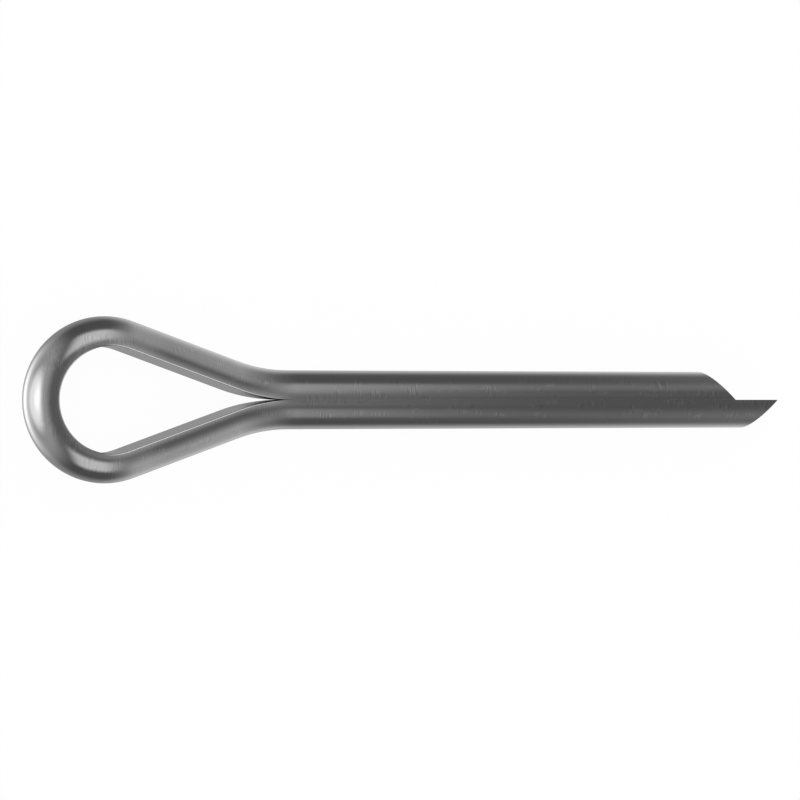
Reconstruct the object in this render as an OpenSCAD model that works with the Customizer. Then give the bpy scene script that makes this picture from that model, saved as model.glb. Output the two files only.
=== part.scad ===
// A split cotter pin bent from one length of half-round wire. It lies on its side: the shank runs
// along +X from the origin, the eye stands behind it at -X, and the short prong is the one at +Y.
// The two prongs close flat to flat on the XZ plane, so that together they make a round shank.

/* [Wire] */
// Diameter of the closed shank, which is twice the height of the half-round wire
shank_d = 4.5; // [3:0.05:6]
// Radius of the two long edges between the wire's flat and its round side
edge_r = 0.08; // [0.04:0.01:0.3]
// How much the wire draws down, all round, where it is bent
draw_down = 0.005; // [0.004:0.001:0.03]

/* [Eye] */
// Inside diameter of the round end of the eye
eye_d = 7.92; // [5.6:0.02:14]
// Angle that each leg of the eye makes with the shank
leg_angle = 19.62; // [14:0.01:26]
// Radius of the bend that closes each leg onto the shank, at the wire's flat
closing_r = 14.06; // [8:0.02:24]

/* [Prongs] */
// Straight length of the short prong, from its closing bend to its point
short_prong = 37.06; // [20:0.02:90]
// How much further the long prong reaches
prong_step = 3.81; // [1:0.01:10]
// Angle between the sheared ends and the shank
shear_angle = 46; // [30:0.5:80]
// Gap between the flats of the two closed prongs
prong_gap = 0.02; // [0.01:0.01:0.5]

/* [Hidden] */
$fn = 96;
// the round side's radius, which is also the height of the wire over the shank's axis
wire_r = shank_d / 2;
flat_h = prong_gap / 2;
long_prong = short_prong + prong_step;
// The path that is swept runs along the shank's axis, at flat_h under the wire's flat. A leg's path
// touches the eye's circle at one end and the closing bend's circle at the other.
eye_r = eye_d / 2 - flat_h;
bend_r = closing_r + flat_h;
eye_x = (eye_r + bend_r * (1 - cos(leg_angle))) / sin(leg_angle);
leg_length = eye_x * cos(leg_angle) - bend_r * sin(leg_angle);
// The small circle that rounds a long edge has its centre at this height and half width.
edge_x = flat_h + edge_r;
edge_y = sqrt(pow(wire_r - edge_r, 2) - pow(edge_x, 2));
// It crosses the flat and the round side by this much, so that the outline closes cleanly.
edge_cross = 0.0001;
// Each bend runs this far into the straights that it joins.
bend_lap = 0.05;

// The wire's half-round section, with x as the height off the path and y across the wire.
// thin takes that much off all round.
module wire_section(thin = 0) {
    round_r = wire_r - thin;
    difference() {
        intersection() {
            circle(r = round_r);
            translate([flat_h + thin, -round_r]) square([round_r, 2 * round_r]);
        }
        for (side = [0, 1])
            mirror([0, side]) sharp_edge(edge_r - thin);
    }
}

// What is taken off a long edge: the corner outside the small circle.
module sharp_edge(r) {
    reach = shank_d / edge_y;
    difference() {
        polygon([[0, edge_y], [edge_x, edge_y], [edge_x, edge_y] * reach, [0, edge_y * reach]]);
        translate([edge_x, edge_y]) circle(r = r + edge_cross);
    }
}

// A straight length of wire along +X, with its flat towards the XZ plane.
module straight_wire(length) {
    rotate([90, 0, 90]) linear_extrude(length) wire_section();
}

// A bend about the Z axis, with its flat towards the centre, or away from it where flat_out is true.
module bent_wire(radius, start, angle, flat_out = false) {
    lap_angle = bend_lap / radius * 180 / PI;
    rotate_extrude(start = start - lap_angle, angle = angle + 2 * lap_angle)
        translate([radius, 0]) mirror([flat_out ? 1 : 0, 0]) wire_section(draw_down);
}

// The round end of the eye.
module eye() {
    translate([-eye_x, 0, 0]) bent_wire(eye_r, 90 - leg_angle, 180 + 2 * leg_angle);
}

// The bend that closes the +Y leg onto the shank.
module closing_bend() {
    translate([0, bend_r, 0]) bent_wire(bend_r, 270 - leg_angle, leg_angle, flat_out = true);
}

// The +Y leg, between the closing bend and the eye.
module leg() {
    translate([0, bend_r, 0]) rotate(-leg_angle) translate([-leg_length, -bend_r, 0])
        straight_wire(leg_length);
}

// A prong at +Y, sheared off so that its point is at the flat.
module prong(length) {
    difference() {
        straight_wire(length);
        translate([length, 0, 0]) rotate(90 - shear_angle) translate([0, -shank_d, -shank_d])
            cube(2 * shank_d);
    }
}

// One side of the pin, from the eye to the point of its prong.
module pin_side(prong_length) {
    leg();
    closing_bend();
    prong(prong_length);
}

module cotter_pin() {
    color("dimgray") {
        eye();
        pin_side(short_prong);
        mirror([0, 1, 0]) pin_side(long_prong);
    }
}

cotter_pin();
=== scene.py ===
# %% [markdown]
# # A split cotter pin
# The real thing is one length of half-round steel wire, bent double. The bend is left open as a teardrop
# eye, and the two straight prongs are pressed together, flat to flat, so that they make one round shank.
# It could be modelled as two mirrored halves, or as a half-round section carried along one path. The second
# way is chosen, because it is how the pin is made: one wire, one path, one closed skin.

# %% Load the CAD frame
import math

import bpy
import numpy as np
from mathutils import Matrix, Vector


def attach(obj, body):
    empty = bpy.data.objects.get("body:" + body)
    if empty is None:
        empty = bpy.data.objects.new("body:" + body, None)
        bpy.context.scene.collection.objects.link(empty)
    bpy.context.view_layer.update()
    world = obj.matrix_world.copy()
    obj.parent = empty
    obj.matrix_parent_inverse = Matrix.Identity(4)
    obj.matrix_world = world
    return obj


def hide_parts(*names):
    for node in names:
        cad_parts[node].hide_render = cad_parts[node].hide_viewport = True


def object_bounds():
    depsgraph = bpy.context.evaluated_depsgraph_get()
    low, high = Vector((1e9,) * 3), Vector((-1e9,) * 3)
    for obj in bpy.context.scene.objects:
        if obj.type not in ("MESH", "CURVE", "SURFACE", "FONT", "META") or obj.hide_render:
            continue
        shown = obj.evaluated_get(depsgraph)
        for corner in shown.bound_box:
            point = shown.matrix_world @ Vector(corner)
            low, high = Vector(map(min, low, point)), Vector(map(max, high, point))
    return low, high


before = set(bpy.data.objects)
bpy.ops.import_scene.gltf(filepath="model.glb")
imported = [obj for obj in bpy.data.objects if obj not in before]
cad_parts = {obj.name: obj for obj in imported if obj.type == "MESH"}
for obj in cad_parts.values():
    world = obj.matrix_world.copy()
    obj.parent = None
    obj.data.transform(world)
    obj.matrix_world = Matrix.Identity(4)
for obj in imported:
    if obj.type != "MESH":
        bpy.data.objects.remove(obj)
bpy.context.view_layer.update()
MM = 0.001

# %% [markdown]
# ## The path of the wire
# A bent wire is best described by its heading: a straight stretch keeps it, and a bend turns it evenly. So
# the path is written as heading against distance along the wire, measured from the middle of the eye, and
# the places follow by adding up small steps. One half is worked out, and the other is its mirror image.
# Wire can't go from straight to curved all at once, so each heading is the average over a short stretch.

# %% Sizes of the wire and its bends
wire_r = 2.236 * MM  # radius of the wire's round side
play = 0.01 * MM  # from the middle plane to each flat, in the CAD model
split = 0.0003 * MM  # the same on this skin, whose prongs are pressed together
eye_r = 3.957 * MM  # radius at the flat, inside the eye
leg_angle = math.radians(19.62)  # between each leg and the shank
closing_r = 14.06 * MM  # radius at the flat where each leg closes onto the shank
easing = 0.5 * MM  # the stretch over which a bend comes on
quarter = math.pi / 2  # a quarter of a turn

rise = eye_r - play + (closing_r + play) * (1 - math.cos(leg_angle))
eye_x = rise / math.sin(leg_angle)
leg_length = eye_x * math.cos(leg_angle) - (closing_r + play) * math.sin(leg_angle)
print(f"eye centre {eye_x / MM:.3f} mm behind the shank, legs {leg_length / MM:.3f} mm long")


# %% Heading and places along one half of the wire
def half_path(leg, step=0.01 * MM, samples=51):
    """Distance from the middle of the eye, heading, x and y, for the half that goes to -Y, and the distances
    where its eye, leg, closing bend and shank start. The heading rises from -90 degrees by distance / eye_r
    round the eye, holds at the leg angle, and falls to 0 by distance / closing_r. Places are the running
    sums of step * cos(heading) and step * sin(heading)."""
    bends = np.cumsum([0, eye_r * (quarter + leg_angle), leg, closing_r * leg_angle])
    far = np.arange(0, bends[3] + 2 * easing, step)
    near = far[:, None] + np.linspace(-easing / 2, easing / 2, samples)
    turned = np.interp(near, bends, [-quarter, leg_angle, leg_angle, 0])
    heading = np.where(near < 0, near / eye_r - quarter, turned).mean(axis=1)
    middle = (heading[1:] + heading[:-1]) / 2
    x = -eye_x - eye_r + np.append(0, np.cumsum(np.cos(middle)) * step)
    y = np.append(0, np.cumsum(np.sin(middle)) * step)
    return far, heading, x, y, bends


missed = half_path(leg_length)[3][-1] + split
leg_length -= missed / math.sin(leg_angle)
path_far, path_heading, path_x, path_y, bends = half_path(leg_length)
shank_shift = path_x[-1] - path_far[-1]  # on the shank, x is distance along the wire plus this
print(f"flats {-path_y[-1] / MM:.4f} mm from the middle plane, shank starts {bends[3] / MM:.2f} mm along")

# %% [markdown]
# ## The half-round section
# Drawn half-round wire has a flat, a round side, and two long edges that are never quite sharp. On the legs
# the edges stand free and are a little rolled, and in the eye the former has pressed them over more. In the
# shank the two halves are pressed together until they read as one round rod, so there the edges are finer
# and meet in a hairline.


# %% One section of the wire
def spread(n, guard=0.004):
    """Evenly from -1 to 1 in n steps, with one more place just inside each end to keep shading crisp."""
    return np.concatenate([[-1], np.linspace(guard - 1, 1 - guard, n + 1), [1]])


def section(edge_r, flat_n=8, edge_n=6, round_n=52):
    """Points (out, up) once round the wire, a row for each edge radius: along the flat at out = split, round
    the upper edge, round the big circle of radius wire_r, and round the lower edge. The edge circle touches
    the flat and the big circle from inside: its centre has out = split + edge_r, and is wire_r - edge_r
    from the axis."""
    edge_r = np.reshape(edge_r, (-1, 1))
    out_c = split + edge_r
    up_c = np.sqrt((wire_r - edge_r) ** 2 - out_c**2)
    meet = np.arctan2(up_c, out_c)
    flat = up_c * spread(flat_n)
    corner = math.pi + (meet - math.pi) * np.linspace(0, 1, edge_n + 1)[1:]
    big = meet * -spread(round_n)[1:-1]
    corner_out = out_c + edge_r * np.cos(corner)
    corner_up = up_c + edge_r * np.sin(corner)
    out = [split + 0 * flat, corner_out, wire_r * np.cos(big), corner_out[:, ::-1]]
    up = [flat, corner_up, wire_r * np.sin(big), -corner_up[:, ::-1]]
    return np.hstack(out), np.hstack(up)


edge_eye = 0.16 * MM  # radius of the long edges in the eye, where they are pressed on the former
edge_free = 0.1 * MM  # the same on the legs
edge_shut = 0.001 * MM  # the same on the prongs, pressed shut
edge_change = 2 * MM  # the length of wire over which the eye's edges give way to the legs' own
print(section(edge_free)[0].shape[1], "points round the wire")

# %% [markdown]
# ## The skin of the wire
# Every place on the skin is a function of two numbers: how far along the wire, and where on the section. On
# the prongs each row leans a little more than the one before, until the last lies in the sheared end. Each
# place also keeps where it was in the straight wire before bending, for patterns that follow the wire.

# %% Rows of one half, from the middle of the eye to the point of its prong
tips = {"short": 37.06 * MM, "long": 40.85 * MM}
shear = math.radians(46)  # between the sheared end and the shank
rim_r = 0.025 * MM  # how far the rim of a sheared end is rounded over
rim_guard = 0.0006  # the last share of a prong, kept as a row of its own so that shading stays crisp


def half_wire(tip, side, bent_rows=230, prong_rows=60):
    """Places (rows, round, 3) of the half on the given side of the middle plane, and their straight-wire
    coordinates. A place is path + (out - split) * normal + up * z, and it is set back along the shank by
    lean * (out / tan(shear) + rim_r), where lean goes from 0 at the bend to 1 at the end."""
    prong = np.append(np.linspace(0, 1, prong_rows + 1)[1:-1], [1 - rim_guard, 1])
    lean = np.append(np.zeros(bent_rows), prong)
    bent = np.linspace(0, bends[3] + easing, bent_rows)
    far = np.append(bent, bent[-1] + prong * (tip - shank_shift - bent[-1]))
    x = np.where(far > path_far[-1], far + shank_shift, np.interp(far, path_far, path_x))
    y = np.interp(far, path_far, path_y)
    heading = np.interp(far, path_far, path_heading)
    edges = [edge_eye, edge_free, edge_free, edge_shut]
    out, up = section(np.interp(far, [bends[1] - edge_change, *bends[1:]], edges))
    back = lean[:, None] * (out / math.tan(shear) + rim_r)
    px = x[:, None] + (out - split) * np.sin(heading)[:, None] - back
    py = y[:, None] - (out - split) * np.cos(heading)[:, None]
    return np.stack([px, -side * py, up], axis=2), np.stack([-side * (far[:, None] - back), out, up], axis=2)


print(f"the long prong reaches {(tips['long'] - tips['short']) / MM:.2f} mm past the short one")

# %% Rows of a sheared end, from its rim to the middle of its face
heart = 0.42 * wire_r  # how far out the point lies on which the rows close
rim_rows = 3
face_rows = 9
face_guard = 0.006  # the first share of a face, kept as a row of its own so that shading stays crisp


def end_face(tip, side):
    """Places and straight-wire coordinates of the rows that close a prong. The section shrinks towards its
    heart, first round a quarter circle of radius rim_r, then over the plane x = tip - out / tan(shear)."""
    turn = np.linspace(0, quarter, rim_rows + 1)[1:]
    rim = 1 - rim_r / heart * (1 - np.cos(turn))
    inner = np.append(1 - face_guard, np.linspace(1, 0, face_rows)[1:-1])
    share = np.append(rim, rim[-1] * inner)
    below = np.append(rim_r * (1 - np.sin(turn)), 0 * inner)
    out, up = section(edge_shut)
    out = heart + share[:, None] * (out - heart)
    up = share[:, None] * up
    x = tip - out / math.tan(shear) - below[:, None]
    return np.stack([x, side * out, up], axis=2), np.stack([-side * (x - shank_shift), out, up], axis=2)


print(f"the rows of a sheared face close {heart / MM:.2f} mm from the middle plane")


# %% Put the rows together
def whole_wire():
    """All rows in order, from the face of the short prong, round the eye, to the face of the long one."""
    halves = []
    for tip, side in ((tips["short"], 1), (tips["long"], -1)):
        halves.append([np.concatenate(pair) for pair in zip(half_wire(tip, side), end_face(tip, side))])
    (upper, upper_drawn), (lower, lower_drawn) = halves
    return np.concatenate([upper[:0:-1], lower]), np.concatenate([upper_drawn[:0:-1], lower_drawn])


skin, drawn = whole_wire()
rows, cols = skin.shape[:2]
cap_rows = len(end_face(tips["short"], 1)[0])  # at each end of the list, the rows on a sheared face
print("rows along the wire:", rows, "of which on each sheared end:", cap_rows)

# %% [markdown]
# ## From rows to a mesh
# Neighbouring rows are joined by four-sided faces that wrap round the wire, and the last row at each end
# closes on one middle point. The wire is then unrolled for its texture map. One strip would be ten times
# as long as it is wide and waste most of a square picture, so it is folded into three strips side by side,
# all at one scale, with the two sheared faces laid flat beside them.


# %% Faces between the rows, and a fan that closes each end
def wire_mesh(name):
    """A closed mesh from the grid of rows: quads between neighbours, wrapped round, and triangles to a pole
    at each end. Faces are listed so that they look outwards."""
    verts = np.concatenate([skin.reshape(-1, 3), skin[[0, -1]].mean(axis=1)])
    coords = np.concatenate([drawn.reshape(-1, 3), drawn[[0, -1]].mean(axis=1)])
    grid = np.arange(rows * cols).reshape(rows, cols)
    after = np.roll(grid, -1, axis=1)
    quads = np.stack([grid[:-1], after[:-1], after[1:], grid[1:]], axis=2).reshape(-1, 4)
    first = np.full(cols, rows * cols)  # the two poles come after the grid's own places
    last = first + 1
    fans = [np.stack([first, after[0], grid[0]], axis=1), np.stack([last, grid[-1], after[-1]], axis=1)]
    mesh = bpy.data.meshes.new(name)
    mesh.from_pydata(verts.tolist(), [], quads.tolist() + np.concatenate(fans).tolist())
    layer = mesh.attributes.new("drawn", "FLOAT_VECTOR", "POINT")
    layer.data.foreach_set("vector", coords.astype(np.float32).ravel())
    obj = bpy.data.objects.new(name, mesh)
    bpy.context.scene.collection.objects.link(obj)
    return obj


pin = wire_mesh("cotter_pin_wire")
pin.data.shade_smooth()
print(len(pin.data.vertices), "vertices,", len(pin.data.polygons), "faces, changed by validate:",
      pin.data.validate())


# %% Check the skin: it is closed, and its faces look outwards
def enclosed_volume(mesh):
    """Sum over the triangles of a . (b x c) / 6, which is positive where faces look outwards."""
    mesh.calc_loop_triangles()
    corners = np.zeros(len(mesh.loop_triangles) * 3, np.int32)
    mesh.loop_triangles.foreach_get("vertices", corners)
    co = np.zeros(len(mesh.vertices) * 3, np.float32)
    mesh.vertices.foreach_get("co", co)
    a, b, c = co.reshape(-1, 3)[corners.reshape(-1, 3)].astype(float).transpose(1, 0, 2)
    return float(np.einsum("ij,ij->", a, np.cross(b, c)) / 6)


print(f"the skin holds {enclosed_volume(pin.data) / MM**3:.1f} cubic mm")

# %% Unroll the skin: how far each row and column lies along and round the wire
strips = 3
strip_gap = 0.2 * MM
body = slice(cap_rows, rows - cap_rows)
spine = skin[body].mean(axis=1)
along = np.append(0, np.cumsum(np.linalg.norm(np.diff(spine, axis=0), axis=1)))
ring = skin[body][len(along) // 2]
around = np.append(0, np.cumsum(np.linalg.norm(np.roll(ring, -1, axis=0) - ring, axis=1)))
strip_pitch = around[-1] + strip_gap  # from one strip to the next on the page
page = max(along[-1] / strips, strips * strip_pitch + 2 * wire_r)
print(f"unrolled: {along[-1] / MM:.1f} by {around[-1] / MM:.2f} mm, on a page {page / MM:.1f} mm square")


# %% Lay the strips and the two faces on one page
def page_places():
    """The (u, v) of every face corner. Between rows, u is the distance along a strip and v the strip's own
    height plus the distance round; on a sheared face, u and v are the section's own (out, up)."""
    row, col = np.meshgrid(np.arange(rows - 1), np.arange(cols), indexing="ij")
    row_of = row[..., None] + [0, 0, 1, 1]
    col_of = col[..., None] + [0, 1, 1, 0]
    on_body = np.clip(row_of - cap_rows, 0, len(along) - 1)
    strip = np.minimum(along[np.clip(row - cap_rows, 0, len(along) - 2)] * strips // along[-1], strips - 1)
    u = along[on_body] - (strip * along[-1] / strips)[..., None]
    v = around[col_of] + (strip * strip_pitch)[..., None]
    cap = (row_of.min(axis=2) < cap_rows) | (row_of.max(axis=2) >= rows - cap_rows)
    flat = drawn[row_of, col_of % cols]
    cap_u = np.where(row_of < rows / 2, 0, wire_r + strip_gap) + flat[..., 1]
    cap_v = strips * strip_pitch + wire_r + flat[..., 2]
    u = np.where(cap[..., None], cap_u, u)
    v = np.where(cap[..., None], cap_v, v)
    fan_col = np.stack([np.zeros(cols, int), np.arange(1, cols + 1) % cols, np.arange(cols)], axis=1)
    fans = []
    for end, shift, order in ((0, 0, [0, 1, 2]), (-1, wire_r + strip_gap, [0, 2, 1])):
        out_up = drawn[end][fan_col[:, order], 1:]
        out_up[:, 0] = drawn[end][:, 1:].mean(axis=0)
        fans.append(out_up + [shift, strips * strip_pitch + wire_r])
    return np.concatenate([np.stack([u, v], axis=3).reshape(-1, 2), np.concatenate(fans).reshape(-1, 2)])


places = page_places() / page
unrolled = pin.data.uv_layers.new(name="OFBake")
unrolled.uv.foreach_set("vector", places.astype(np.float32).ravel())
print("map covers", np.round(places.min(axis=0), 3), "to", np.round(places.max(axis=0), 3))

# %% Fit the wire into the frame
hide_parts("cotter_pin")
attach(pin, "root")
print(pin.name, "stands for the CAD node cotter_pin and rides on root")

# %% [markdown]
# ## Steel
# Drawn wire leaves the die with a smooth, dark grey skin. Looked at closely it carries two sets of marks:
# very fine lines along the wire, from the die, and short scuffs across the pin, on its top and underside,
# where it slid on the conveyor and against other pins. An image could hold both, but noise stretched along
# the right direction makes the same marks at any size, so both come from one node group, read either in
# the straight wire's coordinates or in the object's own.


# %% Helpers that build node trees
def add_node(tree, kind, inputs=None, **settings):
    """A shader node of this kind. Each input named or numbered is linked to a socket, or set to a value."""
    made = tree.nodes.new("ShaderNode" + kind)
    for name, value in settings.items():
        setattr(made, name, value)
    for socket, value in (inputs or {}).items():
        if isinstance(value, bpy.types.NodeSocket):
            tree.links.new(value, made.inputs[socket])
        else:
            made.inputs[socket].default_value = value
    return made


def calc(tree, operation, *values):
    """One step of arithmetic on sockets or numbers."""
    return add_node(tree, "Math", dict(enumerate(values)), operation=operation).outputs[0]


def vector_calc(tree, operation, *values):
    """One step of arithmetic on vectors, which gives a number for a dot product and else a vector."""
    made = add_node(tree, "VectorMath", dict(enumerate(values)), operation=operation)
    return made.outputs["Value" if operation == "DOT_PRODUCT" else "Vector"]


def soft_step(tree, value, low, high):
    """0 at low and beyond it, 1 at high and beyond it, and a smooth change between. Either may be larger."""
    ends = {"Value": value, "From Min": low, "From Max": high}
    return add_node(tree, "MapRange", ends, interpolation_type="SMOOTHSTEP").outputs["Result"]


# %% Helpers for node groups
def new_group(name, inputs, outputs):
    """An empty shader node group with a socket for each name. Gives its tree, inputs and outputs."""
    group = bpy.data.node_groups.new(name, "ShaderNodeTree")
    for socket, kind in inputs.items():
        group.interface.new_socket(socket, in_out="INPUT", socket_type="NodeSocket" + kind)
    for socket, kind in outputs.items():
        group.interface.new_socket(socket, in_out="OUTPUT", socket_type="NodeSocket" + kind)
    return group, group.nodes.new("NodeGroupInput").outputs, group.nodes.new("NodeGroupOutput").inputs


def place_group(tree, group, inputs):
    """A use of the group in a tree, with its inputs linked or set. Gives its output sockets."""
    return add_node(tree, "Group", inputs, node_tree=group).outputs


# %% The marks group: noise stretched to a mark's own length, width and depth
marks_inputs = {"Place": "Vector", "Size": "Vector", "From": "Float", "To": "Float"}
marks, given, result = new_group("marks", marks_inputs, {"Depth": "Float"})
stretched = vector_calc(marks, "DIVIDE", given["Place"], given["Size"])
noise = add_node(marks, "TexNoise", {"Vector": stretched, "Scale": 1, "Detail": 2, "Roughness": 0.5})
marks.links.new(soft_step(marks, noise.outputs[0], given["From"], given["To"]), result["Depth"])
print("marks group:", len(marks.nodes), "nodes")


# %% A helper that puts the marks group into a material
def put_marks(tree, place, size, none, full):
    """Marks of this size in mm along each axis, absent where the noise is under none, full over full."""
    sizes = [length * MM for length in size]
    return place_group(tree, marks, {"Place": place, "Size": sizes, "From": none, "To": full})["Depth"]


# %% [markdown]
# Some places on the wire differ from the rest. Near the long edges of the legs the grey is lightened, as a
# painted highlight. The flats are dull deep in the wedge between the closing bends, where no brush reaches.
# Bending strains the skin, which leaves it more matt, most of all where the tight eye gives way to straight
# legs, and there the grey is also lightened as a painted highlight. The prongs are darkened towards their
# points: painted shade.
# Each place could be painted by hand, but all of them follow from where the skin was in the straight wire:
# how far along, out and up. So one group works out a mask for each from that, to be used as it is needed.

# %% The places group, its three coordinates, and what lies by a long edge
places_outputs = {"EdgeSheen": "Float", "Wedge": "Float", "StrainAndSheen": "Float", "Prong": "Float"}
places_group, given, result = new_group("wire_places", {"Wire": "Vector"}, places_outputs)
along_axis, out_axis, up_axis = add_node(places_group, "SeparateXYZ", {0: given["Wire"]}).outputs
far_along = calc(places_group, "ABSOLUTE", along_axis)
far_up = calc(places_group, "ABSOLUTE", up_axis)
edge_height = math.sqrt((wire_r - edge_free) ** 2 - edge_free**2)  # half the width of a leg's flat
edge_blur = 0.02 * MM  # a mask that ends at an edge fades over about this much
by_edge = soft_step(places_group, far_up, edge_height - edge_blur, edge_height + edge_blur)
print(f"the flat is {2 * edge_height / MM:.2f} mm wide between its edges")

# %% Edge sheen: a painted highlight near the edges of the legs, fading into the eye and into the shank
sheen_full = 0.05 * MM  # out from the flat: bright up to here
sheen_none = 0.6 * MM  # and bare from here on
sheen_fade = 1.5  # a power over 1, so that the brightness falls off fast at first
before_leg = 3 * MM  # the painted highlight starts this far before a leg
into_leg = 0.5 * MM  # it is full this far into the leg
before_shank = 2 * MM  # and it fades out over this much before the shank
# This mask lightens the grey near the legs' edges: a painted highlight.
near_edge = calc(places_group, "POWER", soft_step(places_group, out_axis, sheen_none, sheen_full), sheen_fade)
edges = calc(places_group, "MULTIPLY", by_edge, near_edge)
off_ring = soft_step(places_group, far_along, bends[1] - before_leg, bends[1] + into_leg)
off_shank = soft_step(places_group, far_along, bends[3], bends[3] - before_shank)
free = calc(places_group, "MULTIPLY", off_ring, off_shank)
places_group.links.new(calc(places_group, "MULTIPLY", edges, free), result["EdgeSheen"])
print(f"rubbed up to {sheen_none / MM:.2f} mm from the flat")

# %% Wedge: on the flats, from where the closing bend starts
wedge_grows = 1.7 * MM  # the length of wire over which the flats turn dull
skin_depth = 0.1 * MM  # further out than this, a place is on the round side
round_side = soft_step(places_group, out_axis, edge_blur, skin_depth)
on_flat = calc(places_group, "MULTIPLY", calc(places_group, "SUBTRACT", 1, round_side),
               calc(places_group, "SUBTRACT", 1, by_edge))
deep = soft_step(places_group, far_along, bends[2], bends[2] + wedge_grows)
places_group.links.new(calc(places_group, "MULTIPLY", on_flat, deep), result["Wedge"])
print(f"the wedge starts {bends[2] / MM:.2f} mm from the middle of the eye")

# %% Strain and sheen: where each leg leaves the eye and, less, along the closing bends. The skin is more matt there, and its grey is lightened as a painted highlight
joint = np.array([-1.8, -0.8, 0.9, 3.2]) * MM + bends[1]  # where strain starts, is full, wanes, is gone
closing = np.array([1, 3, -1, 1]) * MM + bends[[2, 2, 3, 3]]  # the same four places for a closing bend
closing_share = 0.4  # the closing bends are gentler, and strain the skin less


def stretch(start, full, wane, gone):
    """A mask that rises from start to full along the wire, holds, and falls from wane to gone."""
    rise = soft_step(places_group, far_along, start, full)
    return calc(places_group, "MULTIPLY", rise, soft_step(places_group, far_along, gone, wane))


strain_and_sheen = calc(places_group, "MULTIPLY_ADD", stretch(*closing), closing_share, stretch(*joint))
places_group.links.new(calc(places_group, "MULTIPLY", strain_and_sheen, round_side), result["StrainAndSheen"])
print("strained at", (joint[[0, 3]] / MM).round(1), "and at", (closing[[0, 3]] / MM).round(1), "mm along")

# %% Prong: from 0 where the shank starts to 1 well along it
prong_start = bends[3] - 2 * MM  # the mask starts just before the shank
prong_full = bends[3] + 25 * MM  # and is full this far along it
# This mask darkens the grey towards the points, as painted shade.
along_prong = soft_step(places_group, far_along, prong_start, prong_full)
places_group.links.new(along_prong, result["Prong"])
print("places group:", len(places_group.nodes), "nodes")


# %% Helpers that start a metal and finish it
def new_metal(name):
    """A metallic material, with its tree, its shader, and the object's and the straight wire's places."""
    metal = bpy.data.materials.new(name)
    metal.use_nodes = True
    shader = metal.node_tree.nodes["Principled BSDF"]
    shader.inputs["Metallic"].default_value = 1
    place = add_node(metal.node_tree, "TexCoord").outputs["Object"]
    wire = add_node(metal.node_tree, "Attribute", attribute_name="drawn").outputs["Vector"]
    return metal, metal.node_tree, shader, place, wire


def finish_metal(metal, shader, grey, rough, relief):
    """Link the grey, the roughness and the relief, a height in metres, and give the metal to the pin."""
    tree = metal.node_tree
    colour = add_node(tree, "CombineColor", {"Red": grey, "Green": grey, "Blue": grey})
    bump = add_node(tree, "Bump", {"Height": relief, "Distance": 1, "Strength": 1})
    tree.links.new(colour.outputs[0], shader.inputs["Base Color"])
    tree.links.new(rough, shader.inputs["Roughness"])
    tree.links.new(bump.outputs[0], shader.inputs["Normal"])
    pin.data.materials.append(metal)
    print(metal.name, "has", len(tree.nodes), "nodes")


# %% Drawn steel: its marks
steel, tree, shader, place, wire = new_metal("drawn_wire_steel")
die_lines = put_marks(tree, wire, size=(9, 0.09, 0.09), none=0.35, full=0.65)
scuffs = put_marks(tree, place, size=(0.11, 0.8, 50), none=0.35, full=0.65)
patches = put_marks(tree, place, size=(1.5, 0.7, 0.9), none=0.47, full=0.67)
flank = 0.4 * wire_r  # the height above or below the pin's middle where scuffs start
crown = 0.85 * wire_r  # and where they are full
height = calc(tree, "ABSOLUTE", add_node(tree, "SeparateXYZ", {0: place}).outputs["Z"])
patches = calc(tree, "MULTIPLY", patches, soft_step(tree, height, flank, crown))
scuff_middle = 0.5  # of a scuff's depth: half the scuffs come out lighter than the skin, and half darker
scuff_share = calc(tree, "MULTIPLY", calc(tree, "SUBTRACT", scuffs, scuff_middle), patches)
edge_sheen, wedge, strain_and_sheen, along_prong = place_group(tree, places_group, {"Wire": wire})
print(f"scuffs start {flank / MM:.2f} mm above and below the pin's middle")

# %% Drawn steel: its colour, a dark grey, lightened by painted highlights along the legs' edges and where the legs leave the eye, and darkened by painted shade along the prongs
bare = 0.31
# The first of these lightens the grey near the legs' edges: a painted highlight.
edge_painted_highlight = 0.28  # these four are added to the bare grey, each times its own mask
# The second lightens the grey where the legs leave the eye and along the closing bends: a painted highlight.
strain_painted_highlight = 0.05
# The third darkens the grey towards the points of the prongs: painted shade.
prong_painted_shade = -0.06
scuff_tone = 0.08
grey = calc(tree, "MULTIPLY_ADD", edge_sheen, edge_painted_highlight, bare)
grey = calc(tree, "MULTIPLY_ADD", strain_and_sheen, strain_painted_highlight, grey)
grey = calc(tree, "MULTIPLY_ADD", along_prong, prong_painted_shade, grey)
grey = calc(tree, "MULTIPLY_ADD", scuff_share, scuff_tone, grey)
print(f"grey runs from {bare + prong_painted_shade:.2f} on the prongs to {bare + edge_painted_highlight:.2f} where rubbed")

# %% Drawn steel: its roughness, higher in scuffed patches, in the wedge and where the skin is strained
smooth = 0.13
patch_dull = 0.02  # these four are added to the smooth skin's, each times its own mask
scuff_dull = 0.05
wedge_dull = 0.1
strained_dull = 0.12
rough = calc(tree, "MULTIPLY_ADD", patches, patch_dull, smooth)
rough = calc(tree, "MULTIPLY_ADD", scuff_share, scuff_dull, rough)
rough = calc(tree, "MULTIPLY_ADD", wedge, wedge_dull, rough)
rough = calc(tree, "MULTIPLY_ADD", strain_and_sheen, strained_dull, rough)
print(f"roughness runs from {smooth:.2f} to {smooth + strained_dull:.2f} where strained")

# %% Drawn steel: its relief
scuff_depth = 1.4e-3 * MM
die_line_depth = 0.12e-3 * MM
relief = calc(tree, "MULTIPLY", scuff_share, scuff_depth)
relief = calc(tree, "MULTIPLY_ADD", die_lines, die_line_depth, relief)
finish_metal(steel, shader, grey, rough, relief)

# %% [markdown]
# A shear leaves two kinds of surface. Where the blade enters, at the round side, it drags the metal into
# a smooth band with lines along the cut. Deeper in, the metal tears, and that part is grainy and dull. So
# the ends take a second material, with the same marks group at other sizes.

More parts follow.
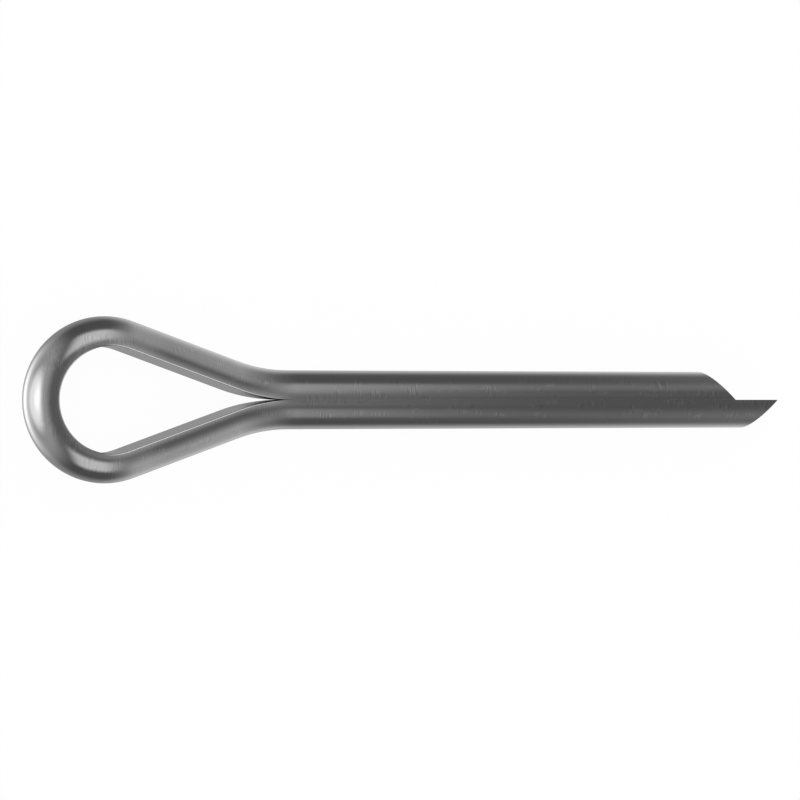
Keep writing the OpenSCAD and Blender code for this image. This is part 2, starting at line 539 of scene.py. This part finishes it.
# %% Sheared steel: its marks, and where it is torn
cut_steel, tree, shader, place, wire = new_metal("sheared_steel")
drag_lines = put_marks(tree, wire, size=(6, 6, 0.07), none=0.35, full=0.65)
grain = put_marks(tree, place, size=(0.06, 0.06, 0.06), none=0.3, full=0.7)
sliced_to = 0.62 * wire_r  # out from the flat: sliced from the round side in to here
torn_from = 0.4 * wire_r  # and torn from here to the flat
torn = soft_step(tree, add_node(tree, "SeparateXYZ", {0: wire}).outputs["Y"], sliced_to, torn_from)
print(f"torn up to {torn_from / MM:.2f} mm from the flat")

# %% Sheared steel: its colour, roughness and relief
fresh = 0.42
torn_dark = -0.06  # added to the fresh grey where it is torn
sliced_rough = 0.26
torn_rough = 0.14  # added to the sliced band's
grain_depth = 3e-3 * MM
drag_depth = 1.5e-3 * MM
grey = calc(tree, "MULTIPLY_ADD", torn, torn_dark, fresh)
rough = calc(tree, "MULTIPLY_ADD", torn, torn_rough, sliced_rough)
relief = calc(tree, "MULTIPLY", calc(tree, "MULTIPLY", grain, torn), grain_depth)
relief = calc(tree, "MULTIPLY_ADD", drag_lines, drag_depth, relief)
finish_metal(cut_steel, shader, grey, rough, relief)

# %% Give the end faces their own finish
band = np.repeat(np.arange(rows - 1), cols)
is_cut = (band < cap_rows) | (band >= rows - 1 - cap_rows)
finish = np.append(is_cut, np.ones(2 * cols, bool)).astype(np.int32)
pin.data.polygons.foreach_set("material_index", finish)
print("faces of sheared steel:", finish.sum())

# %% [markdown]
# ## The studio
# Bare steel has hardly a colour of its own: it shows what stands round it. So the light matters as much as
# the metal. A product studio puts a soft box on each side, a strong light at the head of the object, and
# white paper below that throws light back up. Lamps would do, but then each needs its own place and size in
# metres. Here they are windows in the world instead, each given by its direction, as far off as a sky.

# %% The sky's node tree, and the direction looked in
world = bpy.data.worlds.new("studio")
bpy.context.scene.world = world
world.use_nodes = True
sky = world.node_tree
sky.nodes.clear()
way = add_node(sky, "TexCoord").outputs["Generated"]
skyward = add_node(sky, "SeparateXYZ", {0: way}).outputs["Z"]
print("world:", world.name)


# %% A direction as tilt and turn
def direction(tilt, turn):
    """The unit vector at tilt degrees from straight up, turned by turn degrees from +X towards +Y."""
    tilt = math.radians(tilt)
    turn = math.radians(turn)
    return np.array([math.sin(tilt) * math.cos(turn), math.sin(tilt) * math.sin(turn), math.cos(tilt)])


print("the head of the pin lies towards", direction(90, 180).round(3))


# %% Two shapes of light in the sky
front_fade = 0.05  # a box is kept to its own half of the sky, and fades over this cosine at the border


def inside(angle, half, edge):
    """1 where the angle is less than half, falling to 0 over edge degrees centred on the border."""
    margin = calc(sky, "SUBTRACT", math.radians(half), angle)
    return soft_step(sky, margin, -math.radians(edge) / 2, math.radians(edge) / 2)


def soft_box(tilt, turn, wide, high, edge, strength):
    """Light from a rectangle: strength * inside(|across|, wide) * inside(|down|, high), where across and
    down are a direction's angles from the middle of the box. All angles are in degrees."""
    ahead = direction(tilt, turn)
    right = direction(90, turn + 90)
    front = vector_calc(sky, "DOT_PRODUCT", way, ahead)
    light = calc(sky, "MULTIPLY", soft_step(sky, front, 0.0, front_fade), strength)
    for axis, half in ((right, wide), (np.cross(ahead, right), high)):
        angle = calc(sky, "ARCTAN2", vector_calc(sky, "DOT_PRODUCT", way, axis), front)
        light = calc(sky, "MULTIPLY", light, inside(calc(sky, "ABSOLUTE", angle), half, edge))
    return light


def lamp(tilt, turn, radius, edge, strength):
    """Light from a round lamp: strength * inside(arc from its middle, radius)."""
    arc = calc(sky, "ARCCOSINE", vector_calc(sky, "DOT_PRODUCT", way, direction(tilt, turn)))
    return calc(sky, "MULTIPLY", inside(arc, radius, edge), strength)


# %% The room without its lights: grey overhead, dark at the walls, paler floor
zenith = 0.28
walls = 0.2
low_floor = 0.53
nadir = 0.38
ceiling_at = 0.7  # these three are heights on a sky of radius 1
floor_starts = -0.3
floor_at = -0.8
room = calc(sky, "MULTIPLY_ADD", soft_step(sky, skyward, 0.0, ceiling_at), zenith - walls, walls)
room = calc(sky, "MULTIPLY_ADD", soft_step(sky, skyward, floor_starts, floor_at), low_floor - walls, room)
room = calc(sky, "MULTIPLY_ADD", soft_step(sky, skyward, floor_at, -1.0), nadir - low_floor, room)
print("room levels:", zenith, walls, low_floor, nadir)

# %% [markdown]
# The two side boxes make the pale bands along the shank. The light at the head is a lamp with a hot middle
# and a wide glow round it, which gives the eye its round highlight.

# %% Side boxes, one for each prong
lights = [
    soft_box(tilt=46, turn=88, wide=17, high=20, edge=16, strength=1.2),
    soft_box(tilt=55, turn=271, wide=16, high=20, edge=16, strength=1.25),
]
print(len(lights), "side boxes")

# %% The lamp at the head: its body, its hot middle, its glow, and the bright strip under it
lights += [
    lamp(tilt=85, turn=180, radius=27, edge=20, strength=1.6),
    lamp(tilt=76, turn=178, radius=12, edge=16, strength=0.9),
    lamp(tilt=92, turn=180, radius=59, edge=30, strength=0.6),
    soft_box(tilt=117, turn=180, wide=20, high=5, edge=18, strength=0.4),
]
print(len(lights), "lights with the head's")

# %% [markdown]
# The lower half of each bend looks at the table. The white paper there is brightest in front of the lamp
# and fades away from it, so it counts as three soft boxes that overlap. At the points' end a pair of boxes
# lights the shank's flanks, a faint wide one fills in between them, and paper in the two corners carries
# their light round below.

# %% Light that the paper throws back at the head
lights += [
    soft_box(tilt=146, turn=180, wide=20, high=8, edge=40, strength=2.9),
    soft_box(tilt=135, turn=180, wide=50, high=20, edge=40, strength=0.4),
    soft_box(tilt=170, turn=190, wide=20, high=12, edge=25, strength=0.25),
]
print(len(lights), "lights with the paper's")

# %% Boxes, fill and corners at the points' end
lights += [
    soft_box(tilt=82, turn=35, wide=20, high=30, edge=30, strength=0.8),
    soft_box(tilt=85, turn=340, wide=30, high=25, edge=45, strength=2.0),
    soft_box(tilt=100, turn=10, wide=50, high=30, edge=26, strength=0.25),
    lamp(tilt=125, turn=25, radius=26, edge=30, strength=0.8),
    lamp(tilt=120, turn=330, radius=26, edge=30, strength=0.8),
]
print(len(lights), "lights with those at the points")

# %% Overhead: a faint strip, and a card on the short prong's side
lights += [
    soft_box(tilt=12, turn=5, wide=25, high=8, edge=12, strength=0.2),
    lamp(tilt=28, turn=45, radius=7, edge=12, strength=0.1),
]
print(len(lights), "lights in all")

# %% The sky: lights for rays that reflect, plain white for all others
white = (1, 1, 1, 1)
level = room
for light in lights:
    level = calc(sky, "ADD", level, light)
path = add_node(sky, "LightPath").outputs
plain = add_node(sky, "Background", {"Color": white, "Strength": 1})
boxes = add_node(sky, "Background", {"Color": white, "Strength": level})
mix = add_node(sky, "MixShader", {0: path["Is Glossy Ray"], 1: plain.outputs[0], 2: boxes.outputs[0]})
add_node(sky, "OutputWorld", {0: mix.outputs[0]})
print("studio:", len(sky.nodes), "nodes")

# %% [markdown]
# ## The floor and the camera
# The pin lies on white paper that has no visible end. Brighter lamps would turn the paper white, but they
# would flood the steel as well. So the paper glows, and only for rays that look straight at it: to the
# light it stays matt. A small matt share is left in even then, and it keeps the pin's soft shadow. The
# paper's light on the steel is already part of the sky, so reflections pass through the sheet itself.

# %% The sheet of paper
floor_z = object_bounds()[0].z
half_side = 2.0  # metres
corners = [(x * half_side, y * half_side, floor_z) for x, y in ((-1, -1), (1, -1), (1, 1), (-1, 1))]
mesh = bpy.data.meshes.new("floor")
mesh.from_pydata(corners, [], [(0, 1, 2, 3)])
floor = bpy.data.objects.new("floor", mesh)
bpy.context.scene.collection.objects.link(floor)
floor.visible_glossy = False
print(f"paper at {floor_z / MM:.3f} mm")

# %% White paper
glow_share = 0.97  # of what the camera sees; the rest is matt, and keeps the shadow
paper_grey = 0.95
paper = bpy.data.materials.new("white_paper")
paper.use_nodes = True
tree = paper.node_tree
tree.nodes.clear()
path = add_node(tree, "LightPath").outputs
seen = calc(tree, "MAXIMUM", path["Is Camera Ray"], path["Is Glossy Ray"])
seen = calc(tree, "MAXIMUM", seen, path["Is Transmission Ray"])
matt = add_node(tree, "BsdfDiffuse", {"Color": (paper_grey, paper_grey, paper_grey, 1)})
glow = add_node(tree, "Emission", {"Color": white, "Strength": 1})
share = calc(tree, "MULTIPLY", seen, glow_share)
mix = add_node(tree, "MixShader", {0: share, 1: matt.outputs[0], 2: glow.outputs[0]})
add_node(tree, "OutputMaterial", {0: mix.outputs[0]})
floor.data.materials.append(paper)
print("white paper has", len(tree.nodes), "nodes")

# %% [markdown]
# The camera looks down on the pin, leaning back towards the eye. A long lens from further off would draw it
# like a plan, and a short one close up would swell the eye. This one, from 22 centimetres, shows the rear
# of the eye and the insides of the legs, and keeps the shank's sides nearly parallel.

# %% The camera
camera_tilt = math.radians(21.03)  # from straight down
aim = Vector((9.23, -0.016, 0)) * MM  # the place in the middle of the picture
camera_far = 221.9 * MM  # from that place
picture_width = 800  # pixels
focal_pixels = 2882.7  # the lens's length, in pixels of that picture
sensor_width = 36  # mm, a common size
nearest = 0.01  # metres: nothing nearer is drawn
farthest = 20  # metres: nor anything further off

camera_data = bpy.data.cameras.new("camera")
camera_data.sensor_width = sensor_width
camera_data.lens = focal_pixels / picture_width * sensor_width
camera_data.clip_start = nearest
camera_data.clip_end = farthest
camera = bpy.data.objects.new("camera", camera_data)
bpy.context.scene.collection.objects.link(camera)
print(f"lens {camera_data.lens:.1f} mm on a sensor of {sensor_width} mm")

# %% Turn the camera: its back and right in the plane of X and Z, its up along +Y
back = Vector((-math.sin(camera_tilt), 0, math.cos(camera_tilt)))
right = Vector((math.cos(camera_tilt), 0, math.sin(camera_tilt)))
turn = Matrix((right, Vector((0, 1, 0)), back)).transposed().to_4x4()
camera.matrix_world = Matrix.Translation(aim + back * camera_far) @ turn
bpy.context.scene.camera = camera
bpy.context.scene.view_settings.view_transform = "Standard"
print("camera at", [round(v / MM, 1) for v in camera.matrix_world.translation], "mm")
